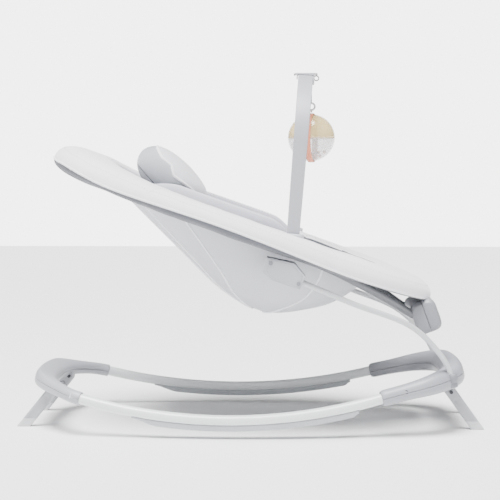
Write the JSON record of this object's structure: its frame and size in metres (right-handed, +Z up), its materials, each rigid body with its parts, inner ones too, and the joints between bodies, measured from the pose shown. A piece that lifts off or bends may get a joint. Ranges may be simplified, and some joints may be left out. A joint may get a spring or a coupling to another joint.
{
  "type": "baby bouncer seat",
  "caption": "Reclined baby bouncer: padded oval seat with head pillow and toy bar, on spring wires over a curved rocker base with fold-out stands.",
  "frame": {"origin": "on the floor, under the middle of the overall box, with both stands folded out", "axes": "+Z up, +X from the head end to the foot end, Y across the seat, Y = 0 the mirror plane"},
  "size_m": [0.826, 0.4099, 0.6275],
  "materials": {
    "frame_paint": "satin light grey powder coat",
    "runner_rubber": "matt grey anti-slip strip",
    "wire_steel": "satin light grey powder coat",
    "base_plastic": "fine moulded grain, cool grey",
    "stand_plastic": "fine moulded grain, cool grey",
    "pad_rubber": "matt grey",
    "screw_steel": "plain",
    "rim_fabric": "knitted, very light lavender white",
    "sling_fabric": "light grey mesh",
    "liner_fabric": "quilted, light grey",
    "pillow_fabric": "soft plush, blue grey",
    "strut_steel": "satin dark grey",
    "bracket_plastic": "moulded, light grey",
    "control_plastic": "moulded, mid grey",
    "button_plastic": "light grey",
    "board": "green laminate",
    "cell": "plain wrap",
    "motor_steel": "plain",
    "bar_plastic": "moulded, cool light grey",
    "ribbon_fabric": "dark grey webbing",
    "belt_plastic": "salmon",
    "ball_yellow": "tinted clear plastic",
    "ball_clear": "clear plastic",
    "bead_plastic": "peach",
    "buckle_plastic": "moulded grey",
    "buckle_button": "light grey",
    "strap_webbing": "woven webbing"
  },
  "bodies": {
    "base": {"base_rail_left": "frame_paint", "base_rail_right": "frame_paint", "rail_runner_left": "runner_rubber", "rail_runner_right": "runner_rubber", "head_cap_upper": "base_plastic", "head_cap_lower": "base_plastic", "foot_hub_upper": "base_plastic", "foot_hub_lower": "base_plastic", "head_stand_pins": "screw_steel", "foot_stand_pins": "screw_steel", "wire_sleeves": "base_plastic"},
    "head_stand": {"head_stand_leg_left": "stand_plastic", "head_stand_leg_right": "stand_plastic", "head_stand_cross_tube": "stand_plastic", "head_stand_pads": "pad_rubber"},
    "foot_stand": {"foot_stand_leg_left": "stand_plastic", "foot_stand_leg_right": "stand_plastic", "foot_stand_cross_tube": "stand_plastic", "foot_stand_pads": "pad_rubber"},
    "seat": {"spring_wire_left": "wire_steel", "spring_wire_right": "wire_steel", "rim_pad": "rim_fabric", "sling": "sling_fabric", "seat_liner": "liner_fabric", "head_pillow": "pillow_fabric", "seat_frame_tube": "strut_steel", "control_housing_front": "control_plastic", "control_housing_rear": "control_plastic", "circuit_board": "board", "batteries": "cell", "vibration_motor": "motor_steel", "bracket_outer_left": "bracket_plastic", "bracket_outer_right": "bracket_plastic", "bracket_inner_left": "bracket_plastic", "bracket_inner_right": "bracket_plastic", "bracket_core_left": "bracket_plastic", "bracket_core_right": "bracket_plastic", "bracket_screws": "screw_steel", "buckle_body": "buckle_plastic", "buckle_tongue_left": "buckle_plastic", "buckle_tongue_right": "buckle_plastic", "waist_strap_left": "strap_webbing", "waist_strap_right": "strap_webbing", "crotch_strap": "strap_webbing"},
    "battery_door": {"battery_door": "control_plastic"},
    "power_button": {"power_button": "button_plastic"},
    "sound_button": {"sound_button": "button_plastic"},
    "vibration_rotor": {"vibration_weight": "motor_steel"},
    "buckle_release": {"buckle_button": "buckle_button"},
    "toy_bar": {"toy_bar_arch": "bar_plastic", "toy_bar_clip": "bar_plastic"},
    "toy_hanger": {"toy_ribbon": "ribbon_fabric", "toy_link": "belt_plastic"},
    "toy_ball": {"ball_upper": "ball_yellow", "ball_lower": "ball_clear", "ball_divider": "belt_plastic", "ball_belt": "belt_plastic", "ball_beads": "bead_plastic"}
  },
  "joints": [
    {"name": "seat_bounce", "type": "hinge", "parent": "base", "child": "seat", "pos_m": [0.351, 0, 0.095], "axis": [0, -1, 0], "range_deg": [0, 10], "stiffness_Nm_per_rad": 120, "springref_deg": -6.3, "deforming": ["spring_wire_left", "spring_wire_right"]},
    {"name": "head_stand_fold", "type": "hinge", "parent": "base", "child": "head_stand", "pos_m": [-0.347, 0, 0.066], "axis": [0, -1, 0], "range_deg": [0, 118]},
    {"name": "foot_stand_fold", "type": "hinge", "parent": "base", "child": "foot_stand", "pos_m": [0.353, 0, 0.066], "axis": [0, 1, 0], "range_deg": [0, 118]},
    {"name": "toy_bar_lift", "type": "slide", "parent": "seat", "child": "toy_bar", "axis": [0.0785, 0, 0.9969], "range_m": [0, 0.03]},
    {"name": "toy_swing", "type": "hinge", "parent": "toy_bar", "child": "toy_hanger", "pos_m": [0.109, 0, 0.6105], "axis": [0, 1, 0], "range_deg": [-30, 30]},
    {"name": "ball_turn", "type": "hinge", "parent": "toy_hanger", "child": "toy_ball", "pos_m": [0.109, 0, 0.512], "axis": [0, 0, 1], "continuous": true},
    {"name": "power_button_press", "type": "slide", "parent": "seat", "child": "power_button", "axis": [-0.9397, 0, -0.342], "range_m": [0, 0.0015], "stiffness_N_per_m": 800, "springref_m": -0.0005},
    {"name": "sound_button_press", "type": "slide", "parent": "seat", "child": "sound_button", "axis": [-0.9397, 0, -0.342], "range_m": [0, 0.0015], "stiffness_N_per_m": 800, "springref_m": -0.0005},
    {"name": "battery_door_slide", "type": "slide", "parent": "seat", "child": "battery_door", "axis": [0, 1, 0], "range_m": [0, 0.012]},
    {"name": "motor_spin", "type": "hinge", "parent": "seat", "child": "vibration_rotor", "pos_m": [0.29775, -0.014, 0.20608], "axis": [0, 1, 0], "continuous": true},
    {"name": "buckle_press", "type": "slide", "parent": "seat", "child": "buckle_release", "axis": [-0.3315, 0, -0.9434], "range_m": [0, 0.0018], "stiffness_N_per_m": 900, "springref_m": -0.0005}
  ]
}
